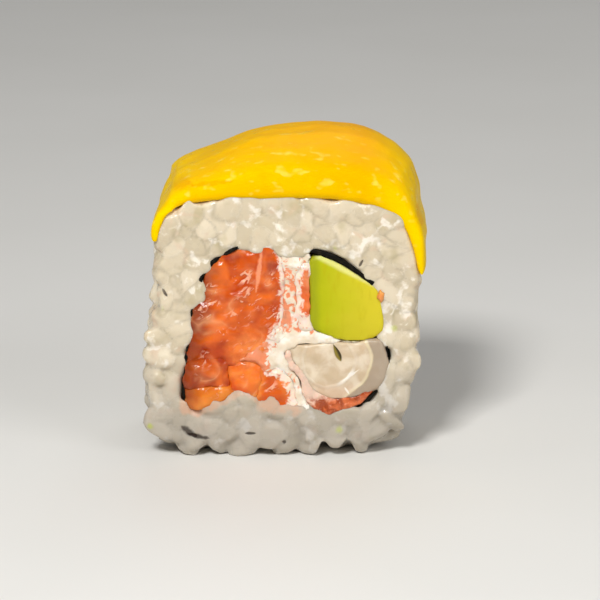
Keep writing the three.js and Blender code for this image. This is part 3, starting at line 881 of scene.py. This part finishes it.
def surimiSkinFinish():
    finish = Finish("surimiSkin")
    patch = finish.fade(finish.cloud(1.6, 4, 0.8), 0.38, 0.68)
    red = finish.blend(tint("9C4014"), tint("D86E38"), patch)
    worn = finish.fade(finish.cloud(0.9, 3), 0.6, 0.75)
    pale = finish.blend(red, tint("F1B294"), worn * 0.6)
    slope = finish.axis("Z") + (patch - 0.5) * 1.5 - finish.axis("X") * 0.35
    filmed = finish.blend(pale, tint("ECD2BC"), finish.fade(slope, 7.6, 9.4) * 0.8)
    return finish.done(
        filmed, 0.25 + patch * 0.2, finish.relief(finish.cloud(0.8, 4), 0.25, 0.8), coat=0.5,
        subsurface=0.2, scatter=(1.0, 0.3, 0.15), depth=0.8,
    )


def makeSurimi():
    stick = softPiece("surimi_stick", ["surimi_heart", "surimi_wrap"], surimi)
    fullFrom, full, over = surimi["fuller"]
    pushSkin(stick, lambda at: full * clamp((at.x / mm - fullFrom) / over))
    ruffle(stick, surimi["relief"], surimi["seed"])
    finishPiece(stick, ["surimi_heart", "surimi_wrap"], surimiFinish())

    skin = softPiece("surimi_red_skin", ["surimi_skin"], surimiSkin)
    ruffle(skin, surimiSkin["relief"], surimiSkin["seed"])
    finishPiece(skin, ["surimi_skin"], surimiSkinFinish())


# cream cheese

cream = {
    "voxel": 0.36,
    "rounds": 3,
    "swell": 0.22,
    "relief": [(2.6, 0.6, (1, 1, 1)), (1.0, 0.3, (1, 1, 1))],
    "seed": 8,
    "salmonReach": 2.0,
}


def creamFinish():
    finish = Finish("creamCheese")
    thick = finish.fade(finish.cloud(2.0, 3), 0.4, 0.7)
    white = finish.blend(tint("E6D6BE"), tint("F8F0E2"), thick)
    z = finish.axis("Z")
    curdled = finish.fade(z, 21.0, 25.0) * (1 - finish.fade(z, 34.0, 37.5))
    tip = 1 - finish.fade(finish.axis("X"), -6.5, -1.0)
    mixed = finish.mark("salmonNear") * 0.36 + curdled * 0.16 + tip * 0.5
    bits = finish.fade(finish.cloud(1.3, 4, 1.4) + mixed, 0.8, 0.93)
    orange = finish.blend(white, tint("E8783C"), bits * 0.85)
    height = finish.cloud(1.0, 4, 0.4)
    return finish.done(
        orange, 0.26 + finish.cloud(1.2, 2) * 0.2, finish.relief(height, 0.25, 0.7), coat=0.4,
        subsurface=0.4, scatter=(1.0, 0.85, 0.65), depth=0.8, shine=0.4,
    )


def makeCream():
    piece = softPiece("cream_cheese_smear", ["cream_cheese"], cream)
    ruffle(piece, cream["relief"], cream["seed"])
    markNear(piece, "salmonNear", list(salmon["tones"]), cream["salmonReach"])
    finishPiece(piece, ["cream_cheese"], creamFinish())


# mango

mango = {
    "swell": 0.22,          # closes the crease between the two slices
    "voxel": 0.55,
    "rounds": 10,
    "edgeRounds": 24,       # more rounding past this far from the middle, on both cut sides
    "edgeFrom": 8.5,
    "lobeFrom": (-16.5, 45.0),  # more rounding to the left of this x and above this z
    "lobeRounds": 22,
    "relief": [(9.0, 0.4, (1, 1, 1)), (3.2, 0.12, (1, 1, 1))],
    "seed": 11,
    # creases in its skin, painted darker as shade: from, to and width, in millimetres
    "folds": [((22.9, 45.4), (24.5, 41.6), 0.9), ((-22.0, 48.4), (-16.0, 49.9), 0.8),
              ((-16.6, 49.6), (-8.6, 50.6), 0.5)],
}


def mangoFinish():
    finish = Finish("ripeMango")
    x = finish.axis("X")
    z = finish.axis("Z")
    drift = finish.cloud(8.0, 3, 0.5) - 0.5
    riper = finish.fade(x * 0.5 + z + drift * 16.0, 48.0, 66.0)
    flesh = finish.blend(tint("F9BE00"), tint("F5AC00"), riper)
    band = 1 - finish.fade(z + x * x * 0.012 + drift * 4.0, 48.0, 52.5)
    lit = finish.blend(flesh, tint("EEBF00"), band * 0.8)
    # painted light: both ends made a brighter yellow, to lift their duller shading
    sides = finish.fade(abs(x), 12.0, 23.0)
    endsPaintedLighter = finish.blend(lit, tint("FFD000"), sides * 0.8)
    front = 1 - finish.fade(finish.axis("Y"), -11.0, -4.0)
    # painted shade in the creases, on the front only
    fold = finish.strokes(mango["folds"], 0.3) * front
    foldShaded = finish.blend(endsPaintedLighter, tint("DE8C00"), fold * 0.4)
    fibre = finish.cloud(2.6, 2, 0.3, finish.stretched((0.35, 1.0, 0.35)))
    veined = finish.blend(foldShaded, tint("EEA000"), finish.fade(fibre, 0.54, 0.76) * 0.3)
    # juice beads: less rough, and with a pale painted highlight on them
    drops = finish.cloud(1.5, 1, where=finish.stretched((0.6, 1.0, 1.0)))
    beadsAndGlints = finish.fade(drops, 0.6, 0.76)
    beadGlintsPainted = finish.blend(veined, tint("FFE060"), beadsAndGlints * 0.5)
    height = fibre * 0.3 + finish.cloud(1.8, 2) * 0.5
    return finish.done(
        beadGlintsPainted, 0.42 - beadsAndGlints * 0.3, finish.relief(height, 0.3, 0.6), subsurface=0.3,
        scatter=(1.0, 0.8, 0.05), depth=1.4, ior=1.22, shine=0.3, tinted=tint("FFC400"),
    )


def makeMango():
    piece = softPiece("mango_slices", ["mango_lower", "mango_upper"], mango)

    def roundEdges(form):
        left, above = (c * mm for c in mango["lobeFrom"])
        edge = mango["edgeFrom"] * mm
        rim = [v for v in form.verts if abs(v.co.y) > edge and (v.co.x > left or v.co.z > above)]
        smoothPoints(form, rim, mango["edgeRounds"])
        lobe = [v for v in form.verts if v.co.x < left and v.co.z > above]
        smoothPoints(form, lobe, mango["lobeRounds"])

    reshape(piece, roundEdges)
    ruffle(piece, mango["relief"], mango["seed"])
    finishPiece(piece, ["mango_lower", "mango_upper"], mangoFinish())


# camera, floor and light

view = {
    "lookAt": (2.54, -13.5, 29.2),   # millimetres
    "elevationDeg": 16,
    "distance": 600,
    "pixelsPerMillimetre": 5.7,
    "picture": 600,
    "sensor": 36,
}


def makeCamera():
    lift = math.radians(view["elevationDeg"])
    away = Vector((0, -math.cos(lift), math.sin(lift))) * view["distance"] * mm
    data = bpy.data.cameras.new("camera")
    data.sensor_width = view["sensor"]
    data.lens = view["sensor"] * view["distance"] / (view["picture"] / view["pixelsPerMillimetre"])
    data.clip_start = 0.01
    camera = bpy.data.objects.new("camera", data)
    camera.location = Vector(view["lookAt"]) * mm + away
    camera.rotation_euler = away.to_track_quat("Z", "Y").to_euler()
    scene.collection.objects.link(camera)
    scene.camera = camera


studio = {  # metres
    "floor": ("E9E7E2", "E2E0DA"),
    "floorHalf": 3.0,
    "floorCloud": 60.0,      # millimetres
    "sky": "F2F3F5",
    "skyStrength": 0.18,
    "aimAt": (0, 0, 0.028),
    "lamps": [  # where it hangs, its size and its power
        ((-0.16, -0.46, 0.5), 0.15, 4.0),
        ((0.42, -0.36, 0.3), 0.3, 0.9),
        ((0.1, 0.4, 0.55), 0.4, 0.7),
    ],
}


def makeStudio():
    form = bmesh.new()
    bmesh.ops.create_grid(form, x_segments=1, y_segments=1, size=studio["floorHalf"])
    floor = newPiece("floor", form)
    finish = Finish("paleFloor")
    first, second = studio["floor"]
    pale = finish.blend(tint(first), tint(second), finish.cloud(studio["floorCloud"], 2))
    floor.data.materials.append(finish.done(pale, 0.6))

    scene.world = bpy.data.worlds.new("studio")
    scene.world.use_nodes = True
    sky = scene.world.node_tree.nodes["Background"]
    sky.inputs["Color"].default_value = tint(studio["sky"])
    sky.inputs["Strength"].default_value = studio["skyStrength"]

    for count, (at, size, power) in enumerate(studio["lamps"]):
        lamp = bpy.data.lights.new(f"lamp{count}", "AREA")
        lamp.size = size
        lamp.energy = power
        holder = bpy.data.objects.new(f"lamp{count}", lamp)
        holder.location = at
        away = Vector(at) - Vector(studio["aimAt"])
        holder.rotation_euler = away.to_track_quat("Z", "Y").to_euler()
        scene.collection.objects.link(holder)


makeCamera()
makeStudio()
print("camera and studio set")
makeRice()
makeNori()
print("nori laid")
makeSalmon()
makeCrumb()
print("salmon cut")
makeAvocado()
makeSurimi()
makeCream()
print("filling done")
makeMango()
print("mango draped")

scene.view_settings.view_transform = "Standard"
